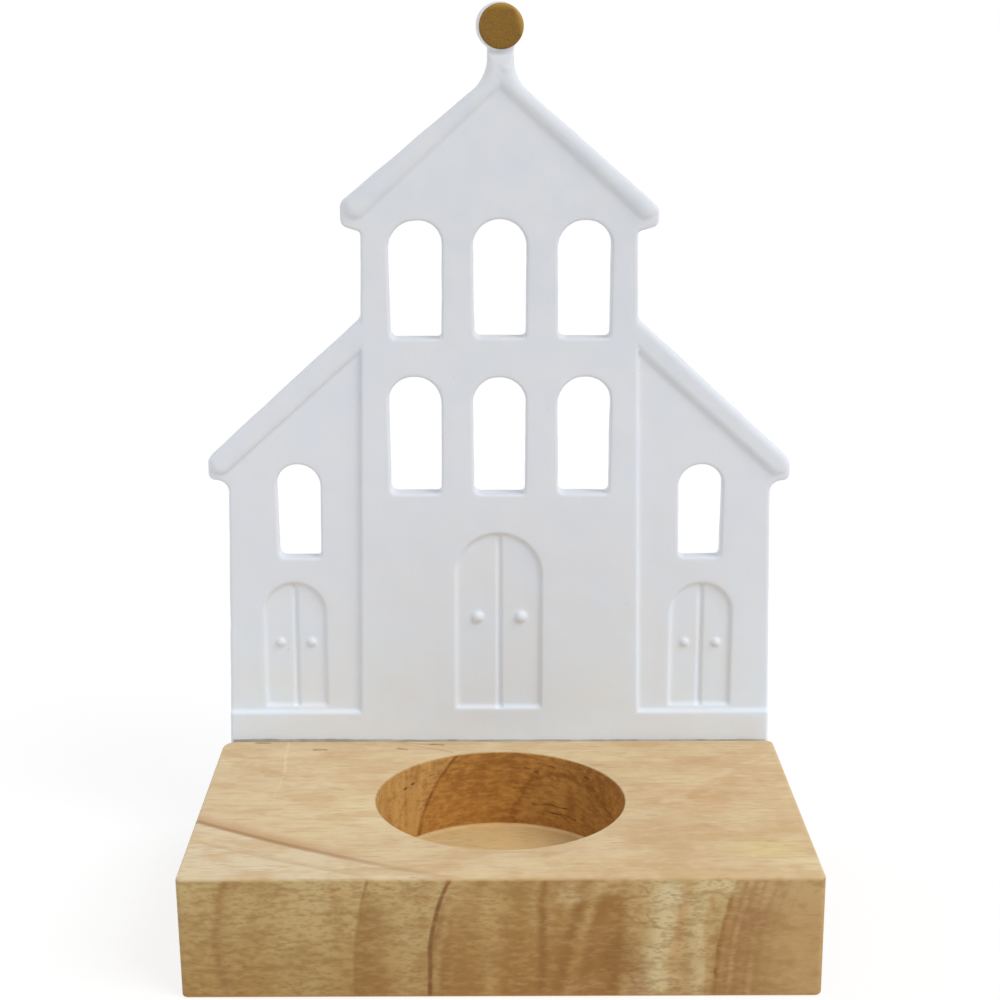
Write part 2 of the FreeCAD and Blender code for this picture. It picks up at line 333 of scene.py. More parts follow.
def disc():
    """Round disc on the neck, with rounded rims."""
    put_down()
    middle = (0, CASTING_BACK - DISC_DEPTH / 2, DISC_HEIGHT)
    bpy.ops.mesh.primitive_cylinder_add(
        vertices=64, radius=DISC_RADIUS, depth=DISC_DEPTH, location=middle, rotation=(math.pi / 2, 0, 0))
    piece = settle("disc")
    pick_parts(piece, "edges", lambda edge: len({round(vert.co.y, 3) for vert in edge.verts}) == 1)
    bpy.ops.mesh.bevel(offset=1.1, segments=6, affect="EDGES")
    put_down()
    return piece


def house_front():
    """The whole casting."""
    body = board("house_front", closed(wing_outline), WING_FACE, CASTING_BACK, WALL_RIM, 3, WALL_RIM)
    # Boards that lie in one another start at slightly unlike depths, so that no two faces fall together.
    tower = board("tower", closed(tower_outline), TOWER_FACE, CASTING_BACK - 0.01, WALL_RIM, 3, WALL_RIM)
    combine(body, tower, "UNION")
    gable = board("gable_strips", gable_strips_outline(), TOWER_FACE - 0.12, CASTING_BACK - 0.6)
    combine(body, crown(gable, [(0.1, 0.14), (0.18, 0.18), (0.3, 0.18), (0.4, 0.13), (0.35, 0.05)]), "UNION")
    for side in (-1, 1):
        strip = board("wing_strip", wing_strip_outline(side), WING_FACE - 0.2, CASTING_BACK - 0.6)
        combine(body, crown(strip, [(0.12, 0.2), (0.2, 0.18), (0.3, 0.12), (0.4, 0.08)]), "UNION")
        foot = board("foot_strip", foot_strip_outline(side), TOWER_FACE + 0.01, CASTING_BACK - 0.02, 0.55, 4)
        combine(body, foot, "UNION")
    combine(body, disc(), "UNION")
    combine(body, knob(0.87, 140.23, 1.13, TOWER_FACE - 0.106), "UNION")
    # Doors: left and right jamb, sill, head, wall's face, the knobs' places, height and radius.
    for left, right, sill, head, face_y, knobs, knob_z, radius in (
            (-7.62, 7.32, 26.73, 59.1, TOWER_FACE, (-3.9, 3.9), 43.6, 1.05),
            (-42.14, -31.52, 26.87, 49.75, WING_FACE, (-39.55, -33.95), 38.65, 0.8),
            (31.09, 41.68, 26.85, 49.65, WING_FACE, (33.55, 39.25), 38.5, 0.8)):
        sunk = face_y + DOOR_SUNK
        combine(body, door_cutter((left + right) / 2, (right - left) / 2, sill, head, sunk, DOOR_SUNK), "DIFFERENCE")
        combine(body, groove_cutter(sum(knobs) / 2 - 0.05, sill, head - 0.5, sunk), "DIFFERENCE")
        for place in knobs:
            combine(body, knob(place, knob_z, radius, sunk), "UNION")
    # Windows: middle, half width, sill, head, roundness at the left and at the right shoulder, wall's face.
    for window in (
            (-14.6, 4.7, 94.3, 114.7, 5.3, 3.8, TOWER_FACE), (0.05, 4.7, 94.5, 115.0, 4.6, 4.6, TOWER_FACE),
            (14.7, 4.7, 94.4, 114.8, 4.9, 4.3, TOWER_FACE),
            (-14.8, 4.7, 66.6, 87.6, 4.4, 4.7, TOWER_FACE), (0.0, 4.7, 66.5, 87.5, 4.5, 4.5, TOWER_FACE),
            (14.85, 4.7, 66.6, 87.6, 4.8, 4.3, TOWER_FACE),
            (-35.7, 3.95, 54.65, 71.75, 3.7, 3.9, WING_FACE), (35.75, 3.95, 54.65, 71.7, 3.9, 3.7, WING_FACE)):
        combine(body, window_cutter(*window), "DIFFERENCE")
    return body


def soften_casting(body):
    """Runs all the pieces of the casting into one skin with soft corners, as slip leaves them."""
    apply_modifier(body, "REMESH", mode="VOXEL", voxel_size=SKIN_GRAIN)
    apply_modifier(body, "SMOOTH", factor=0.5, iterations=8)
    wobble = bpy.data.textures.new("slip_wobble", "CLOUDS")
    wobble.noise_scale = 5.0
    wobble.noise_depth = 1
    apply_modifier(body, "DISPLACE", texture=wobble, texture_coords="LOCAL", strength=0.16, mid_level=0.5)
    apply_modifier(body, "DECIMATE", ratio=SKIN_KEPT)


def gold_button():
    """Gold paint on the disc's front, a little off its middle, so that white shows at the left."""
    put_down()
    front = CASTING_BACK - DISC_DEPTH
    spot = (0.3, front + 0.18, DISC_HEIGHT)
    bpy.ops.mesh.primitive_cylinder_add(
        vertices=72, radius=3.8, depth=0.68, end_fill_type="NGON", location=spot, rotation=(math.pi / 2, 0, 0))
    paint = settle("gold_button")
    pick_parts(paint, "edges", lambda edge: all(vert.co.y < front for vert in edge.verts))
    bpy.ops.mesh.bevel(offset=0.55, segments=12, affect="EDGES")
    pick_parts(paint, "faces", lambda face: face.normal.y < -0.99)
    bpy.ops.mesh.inset(thickness=0.3)
    put_down()
    return paint


def glue_seam():
    """Glue between the block and the casting, with an uneven upper edge."""
    put_down()
    size = (97.0, TOWER_FACE - BLOCK_BACK, BLOCK_TOP - 0.7)
    spot = (0, (TOWER_FACE + BLOCK_BACK) / 2, 0.7 + size[2] / 2)
    bpy.ops.mesh.primitive_cube_add(size=1, location=spot, scale=size)
    glue = settle("glue_seam")
    pick_parts(glue, "edges", lambda edge: abs(edge.verts[0].co.x - edge.verts[1].co.x) > 1)
    bpy.ops.mesh.subdivide(number_cuts=150)
    for edge_x in (8, -8, -19, -24, -27):
        pick_parts(glue, "verts", lambda vert: vert.co.z > BLOCK_TOP - 1 and vert.co.x < edge_x)
        bpy.ops.transform.translate(value=(0, 0, 0.05))
    put_down()
    pick(glue)
    top = glue.vertex_groups.new(name="upper_edge")
    top.add([vert.index for vert in glue.data.vertices if vert.co.z > BLOCK_TOP - 1], 1.0, "REPLACE")
    drips = bpy.data.textures.new("glue_unevenness", "CLOUDS")
    drips.noise_scale = 4.0
    apply_modifier(glue, "DISPLACE", texture=drips, texture_coords="LOCAL", direction="Z", strength=0.3,
                   mid_level=0.5, vertex_group="upper_edge")
    return glue


def to_metres(piece):
    """Brings a finished piece from millimetres to metres, about the shared origin."""
    open_up(piece)
    bpy.ops.mesh.select_all(action="SELECT")
    bpy.ops.transform.resize(value=(TO_METRES, TO_METRES, TO_METRES), center_override=(0, 0, 0))
    bpy.ops.mesh.normals_make_consistent(inside=False)
    put_down()
    pick(piece)
    bpy.ops.object.shade_smooth()
    put_down()


porcelain_front = house_front()
soften_casting(porcelain_front)
to_metres(porcelain_front)
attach(porcelain_front, "root")
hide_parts("porcelain_facade")

gold = gold_button()
to_metres(gold)
pick(gold)
bpy.ops.object.shade_smooth_by_angle(angle=math.radians(10))
put_down()
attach(gold, "root")
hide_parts("finial_gold_coat")

glue = glue_seam()
to_metres(glue)
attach(glue, "root")
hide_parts("glue_film")


# ---------- Wood block ----------

def level_edge(edge, height):
    """Whether an edge lies level at a height."""
    return all(abs(vert.co.z - height) < SAME_PLACE for vert in edge.verts)


def upright_edge(edge, side, y):
    """Whether an edge stands upright at one of the block's corners."""
    low, high = edge.verts
    at_corner = abs(low.co.y - y) < SAME_PLACE and abs(low.co.x - side * BLOCK_SIDE) < SAME_PLACE
    return abs(low.co.z - high.co.z) > 1 and at_corner


def pocket_cutter():
    """Round cutter with a softened end and a flare that eases the pocket's rim."""
    put_down()
    depth = BLOCK_TOP - POCKET_FLOOR
    spot = (0, POCKET_Y, POCKET_FLOOR + depth / 2)
    bpy.ops.mesh.primitive_cylinder_add(vertices=160, radius=POCKET_RADIUS, depth=depth, location=spot)
    cutter = settle("pocket_cutter")
    pick_parts(cutter, "edges", lambda edge: level_edge(edge, POCKET_FLOOR))
    bpy.ops.mesh.bevel(offset=0.25, segments=3, affect="EDGES")
    pick_parts(cutter, "faces", lambda face: face.normal.z > 0.9)
    bpy.ops.transform.translate(value=(0, 0, -0.35))
    last_grow = 0.0
    for rise, grow in ((0.12, 0.03), (0.11, 0.11), (0.08, 0.24), (0.04, 0.4), (1.0, 0.8)):
        wider = (POCKET_RADIUS + grow) / (POCKET_RADIUS + last_grow)
        bpy.ops.mesh.extrude_region_move(TRANSFORM_OT_translate={"value": (0, 0, rise)})
        bpy.ops.transform.resize(value=(wider, wider, 1), center_override=(0, POCKET_Y, 0))
        last_grow = grow
    put_down()
    return cutter


def wood_base():
    """The block, with rounded corners, eased arrises and the tealight's pocket."""
    put_down()
    size = (2 * BLOCK_SIDE, BLOCK_BACK - BLOCK_FRONT, BLOCK_TOP)
    spot = (0, (BLOCK_FRONT + BLOCK_BACK) / 2, BLOCK_TOP / 2)
    bpy.ops.mesh.primitive_cube_add(size=1, location=spot, scale=size)
    block = settle("wood_base")
    # Upright corners: side, depth and rounding.
    for side, y, radius in (
            (-1, BLOCK_FRONT, 0.9), (1, BLOCK_FRONT, 1.1), (-1, BLOCK_BACK, 2.4), (1, BLOCK_BACK, 1.1)):
        pick_parts(block, "edges", lambda edge: upright_edge(edge, side, y))
        bpy.ops.mesh.bevel(offset=radius, segments=8, affect="EDGES")
    for height, radius in ((0.0, 0.5), (BLOCK_TOP, 0.7)):
        pick_parts(block, "edges", lambda edge: level_edge(edge, height))
        bpy.ops.mesh.bevel(offset=radius, segments=4, affect="EDGES")
    # The left side leans a little: in at the foot, out at the top.
    for low, high, shift in ((-1.0, 1.0, 0.1), (BLOCK_TOP - 1, BLOCK_TOP + 1, -0.25)):
        pick_parts(block, "verts", lambda vert: vert.co.x < 3 - BLOCK_SIDE and low < vert.co.z < high)
        bpy.ops.transform.translate(value=(shift, 0, 0))
    put_down()
    combine(block, pocket_cutter(), "DIFFERENCE")
    return block


wood = wood_base()
to_metres(wood)
pick(wood)
bpy.ops.object.shade_smooth_by_angle(angle=math.radians(35))
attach(wood, "root")
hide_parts("wood_block")


# ---------- Finishes ----------

FRONT_STRENGTH, UPPER_STRENGTH = 1.35, 1.2  # factors on the shares listed for the front and the upper face


class Amount:
    """A number or colour that varies over a surface. Sums on it add the nodes that work them out."""

    def __init__(self, finish, socket):
        self.finish, self.socket = finish, socket

    def sum(self, operation, *others):
        values = {i: value for i, value in enumerate((self,) + others)}
        return self.finish.add("ShaderNodeMath", {"operation": operation}, values)

    def __add__(self, other): return self.sum("ADD", other)
    def __radd__(self, other): return self.sum("ADD", other)
    def __sub__(self, other): return self.sum("SUBTRACT", other)
    def __rsub__(self, other): return self.sum("MULTIPLY_ADD", -1.0, other)
    def __mul__(self, other): return self.sum("MULTIPLY", other)
    def __rmul__(self, other): return self.sum("MULTIPLY", other)
    def __truediv__(self, other): return self.sum("DIVIDE", other)
    def __pow__(self, other): return self.sum("POWER", other)
    def __abs__(self): return self.sum("ABSOLUTE")
    def root(self): return self.sum("SQRT")
    def most(self, other): return self.sum("MAXIMUM", other)

    def rise(self, low, high, full=1.0):
        """From 0 at low to full at high, with soft ends. It falls where low is the larger."""
        values = {"Value": self, "From Min": low, "From Max": high, "To Max": full}
        return self.finish.add("ShaderNodeMapRange", {"interpolation_type": "SMOOTHSTEP"}, values)

    def band(self, low, high, soft):
        """One between low and high, with soft sides."""
        return self.rise(low - soft, low + soft) * self.rise(high + soft, high - soft)


class Finish:
    """What is being mixed for a surface, or for the air of the studio. Places on it are in millimetres."""

    def __init__(self, holder):
        holder.use_nodes = True
        self.holder, self.tree = holder, holder.node_tree
        self.tree.nodes.clear()
        place = self.add("ShaderNodeTexCoord", out="Object")
        self.place = self.add("ShaderNodeVectorMath", {"operation": "SCALE"}, {0: place, "Scale": 1000.0})
        self.x, self.y, self.z = (self.add("ShaderNodeSeparateXYZ", {}, {0: self.place}, out=i) for i in range(3))

    def add(self, kind, settings=None, values=None, out=0):
        """Adds a node, its settings first, then its values and links, and gives one of its outputs."""
        node = self.tree.nodes.new(kind)
        for setting, value in (settings or {}).items():
            setattr(node, setting, value)
        for name, value in (values or {}).items():
            socket = node.inputs[name]
            if isinstance(value, Amount):
                self.tree.links.new(value.socket, socket)
            else:
                socket.default_value = value
        return Amount(self, node.outputs[out]) if node.outputs else None

    def stretched(self, along_x, along_y, along_z, start=None):
        """Place on the piece, with each direction stretched to its own length in millimetres."""
        return self.vector("MULTIPLY", start or self.place, (1 / along_x, 1 / along_y, 1 / along_z))

    def cloud(self, place, detail=2.0, rough=0.5, seed=0.0):
        """Soft uneven pattern from 0 to 1, with a middle of about a half."""
        moved = self.vector("ADD", place, (seed, seed * 0.7, seed * 1.3))
        values = {"Vector": moved, "Scale": 1.0, "Detail": detail, "Roughness": rough}
        return self.add("ShaderNodeTexNoise", {}, values, out="Fac")

    def vector(self, operation, first, *others, out=0):
        """Sum on whole places, as on numbers."""
        values = {i: value for i, value in enumerate((first,) + others)}
        return self.add("ShaderNodeVectorMath", {"operation": operation}, values, out)

    def flat(self, u, v, w=0.0):
        """Place on a face that is looked at straight on."""
        return self.add("ShaderNodeCombineXYZ", {}, {0: u, 1: v, 2: w})

    def stroke(self, place, start, end, half, share):
        """The share along a short straight mark between two spots, and zero beyond its half width."""
        length = math.hypot(end[0] - start[0], end[1] - start[1])
        heading = ((end[0] - start[0]) / length, (end[1] - start[1]) / length, 0)
        off = self.vector("SUBTRACT", place, tuple(start) + (0,))
        along = self.vector("DOT_PRODUCT", off, heading, out="Value")
        along = self.add("ShaderNodeClamp", {}, {"Value": along, "Max": length})
        nearest = self.add("ShaderNodeVectorMath", {"operation": "SCALE"}, {0: heading, "Scale": along})
        return self.vector("DISTANCE", off, nearest, out="Value").rise(half, half * 0.2, share)

    def spot(self, place, middle, reach, share):
        """The share in the middle of a soft spot, falling to zero at its edge."""
        shrink = (1 / reach[0], 1 / reach[1], 0)
        back = (-middle[0] / reach[0], -middle[1] / reach[1], 0)
        moved = self.vector("MULTIPLY_ADD", place, shrink, back)
        return self.vector("LENGTH", moved, out="Value").rise(1.05, 0.1, share)

    def blend(self, share, below, above):
        """Colour that goes from one to the other as the share goes from 0 to 1."""
        return self.add("ShaderNodeMix", {"data_type": "RGBA"}, {0: share, 6: below, 7: above}, out=2)

    def coats(self, colour, tone, *layers):
        """Lays coats over a colour, each with its share and the red, green and blue that tone mixes it from."""
        for share, paint in layers:
            colour = self.blend(share, colour, tone(*paint))
        return colour

    def finish_off(self, values):
        """Adds the surface shader and the material's output."""
        surface = self.add("ShaderNodeBsdfPrincipled", {}, values)
        self.add("ShaderNodeOutputMaterial", {}, {"Surface": surface})
        return self.holder


def shade(red, green, blue):
    """A shader's colour from red, green and blue as a screen gives them, from 0 to 255."""
    parts = (part / 255 for part in (red, green, blue))
    return tuple(part / 12.92 if part <= 10 / 255 else ((part + 0.055) / 1.055) ** 2.4 for part in parts) + (1.0,)


def bisque_porcelain():
    """White unglazed porcelain: matt, with a faint mottle, fine tooth and rare dark specks."""
    finish = Finish(bpy.data.materials.new("bisque_porcelain"))
    mottle = finish.cloud(finish.stretched(9, 9, 9), 3.0, 0.6)
    fine = finish.cloud(finish.stretched(0.35, 0.35, 0.35), 2.0, 0.6, 3.0)
    specks = finish.cloud(finish.stretched(0.55, 0.55, 0.55), 0.0, 0.5, 31.0)
    colour = finish.coats(
        shade(233, 243, 254), shade,
        # Painted light: the first two coats make the foot bluer and paler than the top, to cancel the warm light that
        # the wood throws back onto the casting.
        (finish.z.rise(20, 62), (228, 233, 242)),
        (finish.z.rise(60, 118), (222, 226, 233)),
        (mottle.rise(0.3, 0.7) * 0.35, (236, 236, 236)),
        (fine.rise(0.35, 0.2) * 0.25, (206, 206, 208)),
        (specks.rise(0.1, 0.07) * 0.45, (134, 120, 104)))
    bump = finish.add("ShaderNodeBump", {}, {"Strength": 0.12, "Distance": 0.0001, "Height": fine})
    rough = 0.58 + mottle * 0.12
    return finish.finish_off({"Specular IOR Level": 0.35, "Base Color": colour, "Roughness": rough, "Normal": bump})


def front_tone(red, green, blue):
    """Colour to paint on the front so that it shows as this tone in the stage's light."""
    return shade(red * 1.07, green * 1.065, blue * 1.07 - 7)


def top_tone(red, green, blue):
    """The same for the upper face, which gets more light."""
    return shade(red * 1.035, green * 1.02, blue * 1.03 - 5)


def well_tone(red, green, blue):
    """The same for the pocket's shaded wall."""
    return shade(red * 1.14, green * 1.17, blue * 1.15)


def ring_line(u):
    """How far back a growth ring's edge lies on the upper face. It bends a little."""
    past = u + 32
    return past * -0.5334 + past * past * 0.0032 - 20.2


def front_figure(wood, x, z, colour, wisps):
    """The front's upright figure, feature by feature from the left."""
    height = z / BLOCK_TOP
    wave = (wood.cloud(wood.stretched(8, 8, 7), 3.0, 0.55, 11.0) - 0.5) * 3.0
    jitter = (wood.cloud(wood.stretched(1.8, 1.8, 1.8), 2.0, 0.6, 53.0) - 0.5) * 1.6
    bend = wood.flat(x + wave, height, height * height)
    # Upright bands: place at the top, the middle and the foot, half width, tone and share.
    for top, middle, foot, half, paint, share in (
            (-41.6, -43.9, -42.4, 1.6, (156, 122, 80), 0.5),
            (-42.0, -44.3, -43.1, 0.6, (142, 106, 62), 0.45),
            (-37.5, -38.0, -40.5, 2.2, (156, 122, 74), 0.15),
            (-31.0, -31.0, -31.0, 4.5, (181, 158, 115), 0.4),
            (-14.0, -14.3, -14.5, 2.2, (177, 150, 108), 0.5),
            (-5.8, -9.4, -10.2, 0.6, (180, 150, 106), 0.4),
            (-3.5, -6.6, -7.6, 1.6, (150, 112, 64), 0.45),
            (0.0, -1.5, -2.4, 1.7, (174, 141, 93), 0.5),
            (3.2, 2.2, 1.2, 2.0, (148, 108, 58), 0.55),
            (6.9, 6.1, 5.8, 0.8, (134, 93, 45), 0.75),
            (9.4, 8.4, 7.8, 1.4, (150, 110, 60), 0.5),
            (13.6, 10.6, 8.4, 1.3, (136, 94, 46), 0.75),
            (16.2, 12.6, 10.2, 0.8, (172, 136, 86), 0.3),
            (17.4, 14.3, 12.2, 1.2, (138, 95, 48), 0.7),
            (18.0, 17.2, 16.4, 2.0, (136, 92, 44), 0.8),
            (21.0, 20.0, 19.4, 1.3, (176, 146, 104), 0.55),
            (26.4, 25.2, 24.5, 2.8, (198, 180, 142), 0.9),
            (29.6, 27.2, 26.7, 0.95, (182, 148, 106), 0.75),
            (31.7, 30.6, 30.3, 1.5, (196, 176, 136), 0.85),
            (33.3, 32.2, 31.8, 0.5, (180, 146, 104), 0.6)):
        bends = (1, 3 * foot - 4 * middle + top, 4 * middle - 2 * foot - 2 * top)
        off = abs(wood.vector("DOT_PRODUCT", bend, bends, out="Value") - foot)
        colour = wood.blend(off.rise(half * 1.8, 0.0, min(1, share * FRONT_STRENGTH)), colour, front_tone(*paint))

    # The dark edge at the right, the browner wood behind it and the fine rings that follow it.
    edge = x + wave * 0.35 - (height ** 2.2 * 3.5 + 33)
    right = edge.rise(-0.25, 0.35)
    plain = wood.blend(edge.rise(4, 11), front_tone(158, 119, 78), front_tone(173, 139, 97))
    plain = wood.blend(height.rise(0.55, 1.0) * 0.6, plain, front_tone(184, 156, 116))
    colour = wood.blend(right, colour, plain)
    ruled = edge + wave * 0.12
    broken = wisps.rise(0.3, 0.6, 0.8) + 0.5
    for place, half, paint, share in (
            (0.25, 0.35, (143, 98, 55), 0.75), (1.7, 0.3, (146, 108, 68), 0.45), (3.1, 0.45, (142, 104, 66), 0.5),
            (4.6, 0.25, (150, 112, 74), 0.35), (6.3, 0.35, (152, 116, 76), 0.4), (8.0, 0.3, (158, 120, 80), 0.35),
            (9.9, 0.3, (160, 124, 86), 0.25), (2.4, 0.35, (182, 148, 108), 0.4), (5.4, 0.4, (184, 152, 112), 0.35)):
        off = abs(ruled - place)
        colour = wood.blend(off.rise(half * 1.8, 0.0, share) * broken, colour, front_tone(*paint))

    # Soft spots: middle, reach across and upwards, tone and share.
    wavy = wood.flat(x + wave + jitter, z + wave - jitter)
    for centre, reach, paint, share in (
            ((-38.0, 9.5), (2.6, 4.0), (156, 124, 76), 0.15), ((-29.0, 17.0), (5.0, 3.0), (184, 162, 120), 0.35),
            ((-25.5, 17.6), (2.4, 2.2), (180, 146, 104), 0.4), ((-33.0, 4.5), (7.0, 3.4), (153, 120, 72), 0.3),
            ((-20.0, 14.0), (1.8, 4.0), (148, 114, 72), 0.4), ((-19.5, 3.0), (3.0, 4.0), (150, 110, 66), 0.5),
            ((-4.5, 16.0), (2.2, 3.5), (162, 126, 80), 0.4), ((2.0, 14.5), (4.0, 1.6), (156, 118, 68), 0.35),
            ((10.6, 17.6), (3.4, 2.4), (187, 163, 122), 0.75), ((12.5, 2.0), (5.0, 2.4), (166, 126, 84), 0.5),
            ((18.2, 7.2), (3.4, 5.0), (130, 88, 42), 0.75), ((20.6, 5.8), (3.2, 2.6), (138, 96, 50), 0.6),
            ((17.2, 13.6), (1.8, 4.2), (146, 104, 56), 0.55), ((21.4, 1.8), (2.6, 2.0), (176, 142, 110), 0.5),
            ((16.6, 18.9), (5.0, 2.8), (182, 152, 110), 0.7), ((27.0, 17.4), (3.0, 1.8), (200, 184, 154), 0.5),
            ((34.2, 18.8), (3.6, 2.4), (200, 180, 142), 0.75),
            ((25.6, 3.0), (2.2, 2.4), (200, 178, 144), 0.5), ((39.2, 13.6), (3.4, 2.8), (150, 112, 78), 0.6),
            ((37.0, 8.0), (2.4, 4.0), (152, 114, 74), 0.4), ((33.4, 8.4), (0.5, 2.6), (128, 84, 42), 0.6),
            ((33.2, 4.0), (0.45, 1.0), (116, 72, 34), 0.7), ((46.0, 8.0), (6.0, 7.0), (178, 144, 100), 0.4)):
        on_spot = wood.spot(wavy, centre, reach, min(1, share * FRONT_STRENGTH))
        colour = wood.blend(on_spot, colour, front_tone(*paint))

    # Short dark squiggles above the darkest spot.
    crooked = wood.flat(x + jitter, z + jitter)
    for start, end, half in (
            ((21.2, 18.7), (22.8, 17.8), 0.3), ((18.8, 16.4), (20.6, 17.0), 0.3), ((21.0, 15.4), (24.4, 16.3), 0.26),
            ((20.4, 13.6), (22.0, 12.2), 0.22), ((22.4, 13.9), (24.2, 11.6), 0.22), ((19.3, 14.6), (20.2, 12.8), 0.2),
            ((14.6, 13.2), (13.2, 10.4), 0.22), ((20.2, 3.6), (20.6, 2.2), 0.3)):
        colour = wood.blend(wood.stroke(crooked, start, end, half * 1.5, 0.45), colour, front_tone(140, 94, 56))
    return colour


def upper_figure(wood, x, y, colour):
    """The upper face's warm and pale areas and its small marks."""
    sway = (wood.cloud(wood.stretched(5, 4, 4), 3.0, 0.6, 61.0) - 0.5) * 4.0
    soft = wood.flat(x + sway * 2.0, y + sway)
    straight = wood.flat(x + sway * 0.3, y + sway * 0.15)
    # Soft spots: middle, reach across and backwards, tone and share.
    for centre, reach, paint, share in (
            ((-40.0, 1.0), (12.0, 7.0), (214, 192, 152), 0.5), ((-25.0, -8.0), (16.0, 8.0), (219, 202, 164), 0.7),
            ((-47.0, 16.0), (7.0, 2.6), (222, 207, 172), 0.6), ((-22.0, 18.0), (13.0, 6.0), (203, 176, 134), 0.55),
            ((33.5, 0.0), (11.0, 9.0), (202, 164, 119), 0.8), ((43.0, 7.0), (8.0, 6.0), (203, 168, 122), 0.65),
            ((33.0, -12.4), (4.0, 2.2), (194, 154, 112), 0.6), ((26.0, -3.0), (2.8, 2.4), (194, 152, 108), 0.6),
            ((34.0, 17.5), (6.0, 5.0), (203, 168, 126), 0.6), ((12.0, -26.0), (14.0, 4.6), (204, 174, 126), 0.6),
            ((7.8, -22.8), (3.2, 1.8), (196, 158, 114), 0.6), ((24.0, -27.2), (6.0, 1.8), (196, 160, 120), 0.6),
            ((42.0, -21.0), (9.0, 5.0), (216, 196, 140), 0.8), ((47.0, -27.0), (7.0, 4.5), (223, 209, 166), 0.8),
            ((26.0, -18.0), (9.0, 4.0), (202, 170, 124), 0.5), ((2.0, 27.0), (14.0, 3.0), (214, 192, 156), 0.5)):
        on_spot = wood.spot(soft, centre, reach, min(1, share * UPPER_STRENGTH))
        colour = wood.blend(on_spot, colour, top_tone(*paint))

    # Strokes: from, to, half width, tone and share. The broad ones are the most uneven.
    for start, end, half, paint, share in (
            ((-49.6, 21.0), (-42.0, 12.0), 2.0, (200, 168, 128), 0.6),
            ((-42.0, 12.0), (-31.0, 5.3), 1.7, (197, 164, 122), 0.6),
            ((-31.0, 5.3), (-27.0, 3.8), 0.9, (186, 150, 106), 0.6),
            ((-50.0, 6.5), (-41.0, 3.4), 1.1, (202, 172, 132), 0.4),
            ((-33.4, 22.2), (-31.4, 22.2), 0.5, (112, 80, 44), 0.9),
            ((-44.2, 25.7), (-41.8, 25.7), 0.45, (124, 92, 54), 0.8),
            ((-19.6, 26.1), (-8.4, 21.0), 0.45, (190, 148, 108), 0.6),
            ((-26.0, 27.6), (-12.0, 24.6), 0.5, (184, 138, 104), 0.65),
            ((-18.3, 22.8), (-16.7, 22.4), 0.5, (150, 100, 56), 0.85),
            ((-12.4, 24.9), (-10.4, 24.5), 0.5, (112, 62, 44), 0.9),
            ((14.6, 23.9), (17.6, 23.6), 0.45, (182, 142, 100), 0.5),
            ((19.2, 20.9), (22.6, 20.4), 0.4, (178, 140, 98), 0.5),
            ((26.5, -4.2), (34.7, 6.6), 1.1, (216, 192, 154), 0.5),
            ((34.7, 6.6), (48.5, 19.9), 1.1, (219, 197, 160), 0.75),
            ((22.0, 5.4), (30.0, 8.4), 0.9, (219, 196, 158), 0.6),
            ((30.0, 8.4), (46.0, 21.5), 0.7, (215, 190, 150), 0.45),
            ((31.0, 14.0), (42.0, 20.5), 1.0, (198, 160, 118), 0.45),
            ((24.4, -7.4), (25.8, -7.6), 0.5, (160, 132, 96), 0.7),
            ((-51.0, -15.2), (-40.0, -19.0), 0.8, (206, 178, 142), 0.5),
            ((-52.0, -12.5), (-43.0, -16.5), 0.6, (206, 178, 142), 0.45)):
        on_stroke = wood.stroke(soft if half > 1 else straight, start, end, half, share)
        colour = wood.blend(on_stroke, colour, top_tone(*paint))
    scratch = wood.stroke(straight, (-38.4, 26.2), (-37.7, 11.0), 0.42, 0.6)
    scratch = scratch + wood.stroke(straight, (-37.7, 9.9), (-38.4, -0.8), 0.32, 0.3)
    return wood.blend(scratch, colour, top_tone(228, 208, 186))


def pocket_wall(wood, x, z, patches, mottle, grain):
    """The pocket's wall: a golden wedge at the left, an arched ring at the right, small knots and dashes."""
    wall = wood.blend(patches.rise(0.35, 0.65), well_tone(146, 97, 40), well_tone(160, 110, 50))
    # Painted shade: the wall's upper right, towards the rim, is painted darker.
    wall = wood.blend(z.rise(13, 19) * x.rise(9, 17) * 0.6, wall, well_tone(132, 86, 36))
    arch_off = wood.vector("LENGTH", wood.flat((x - 11.8) / 9.0, (z - 8.0) / 9.2), out="Value")
    arch_off = arch_off + (mottle - 0.5) * 0.3
    wall = wood.blend(arch_off.rise(1.0, 0.8) * 0.6, wall, well_tone(164, 119, 64))
    wall = wood.blend(abs(arch_off - 1.0).rise(0.1, 0.0) * 0.7, wall, well_tone(118, 72, 28))
    edge = x + 14.7 - (z - 5) * (z - 5) * 0.03
    gold = wood.blend(grain.rise(0.3, 0.7) * 0.8, well_tone(162, 119, 66), well_tone(180, 139, 84))
    wall = wood.blend(edge.rise(0.12, -0.12), wall, gold)
    wall = wood.blend(abs(edge - 0.15).rise(0.6, 0.1) * 0.9, wall, well_tone(116, 68, 24))
    seen = wood.flat(x + (mottle - 0.5) * 1.6, z + (mottle - 0.5) * 1.4)
    for start, end, half in (
            ((-15.5, 16.9), (-15.3, 16.9), 0.4), ((-16.8, 16.6), (-16.6, 16.6), 0.36),
            ((6.5, 16.9), (6.9, 16.8), 0.42), ((15.2, 17.9), (15.5, 17.8), 0.42),
            ((8.8, 18.2), (9.8, 18.1), 0.25), ((8.6, 10.9), (12.0, 10.9), 0.22),
            ((9.2, 9.4), (13.6, 9.3), 0.22), ((6.0, 10.7), (8.4, 10.7), 0.22),
            ((4.6, 17.6), (5.6, 17.5), 0.3)):
        wall = wood.blend(wood.stroke(seen, start, end, half, 0.85), wall, well_tone(76, 42, 18))
    return wall


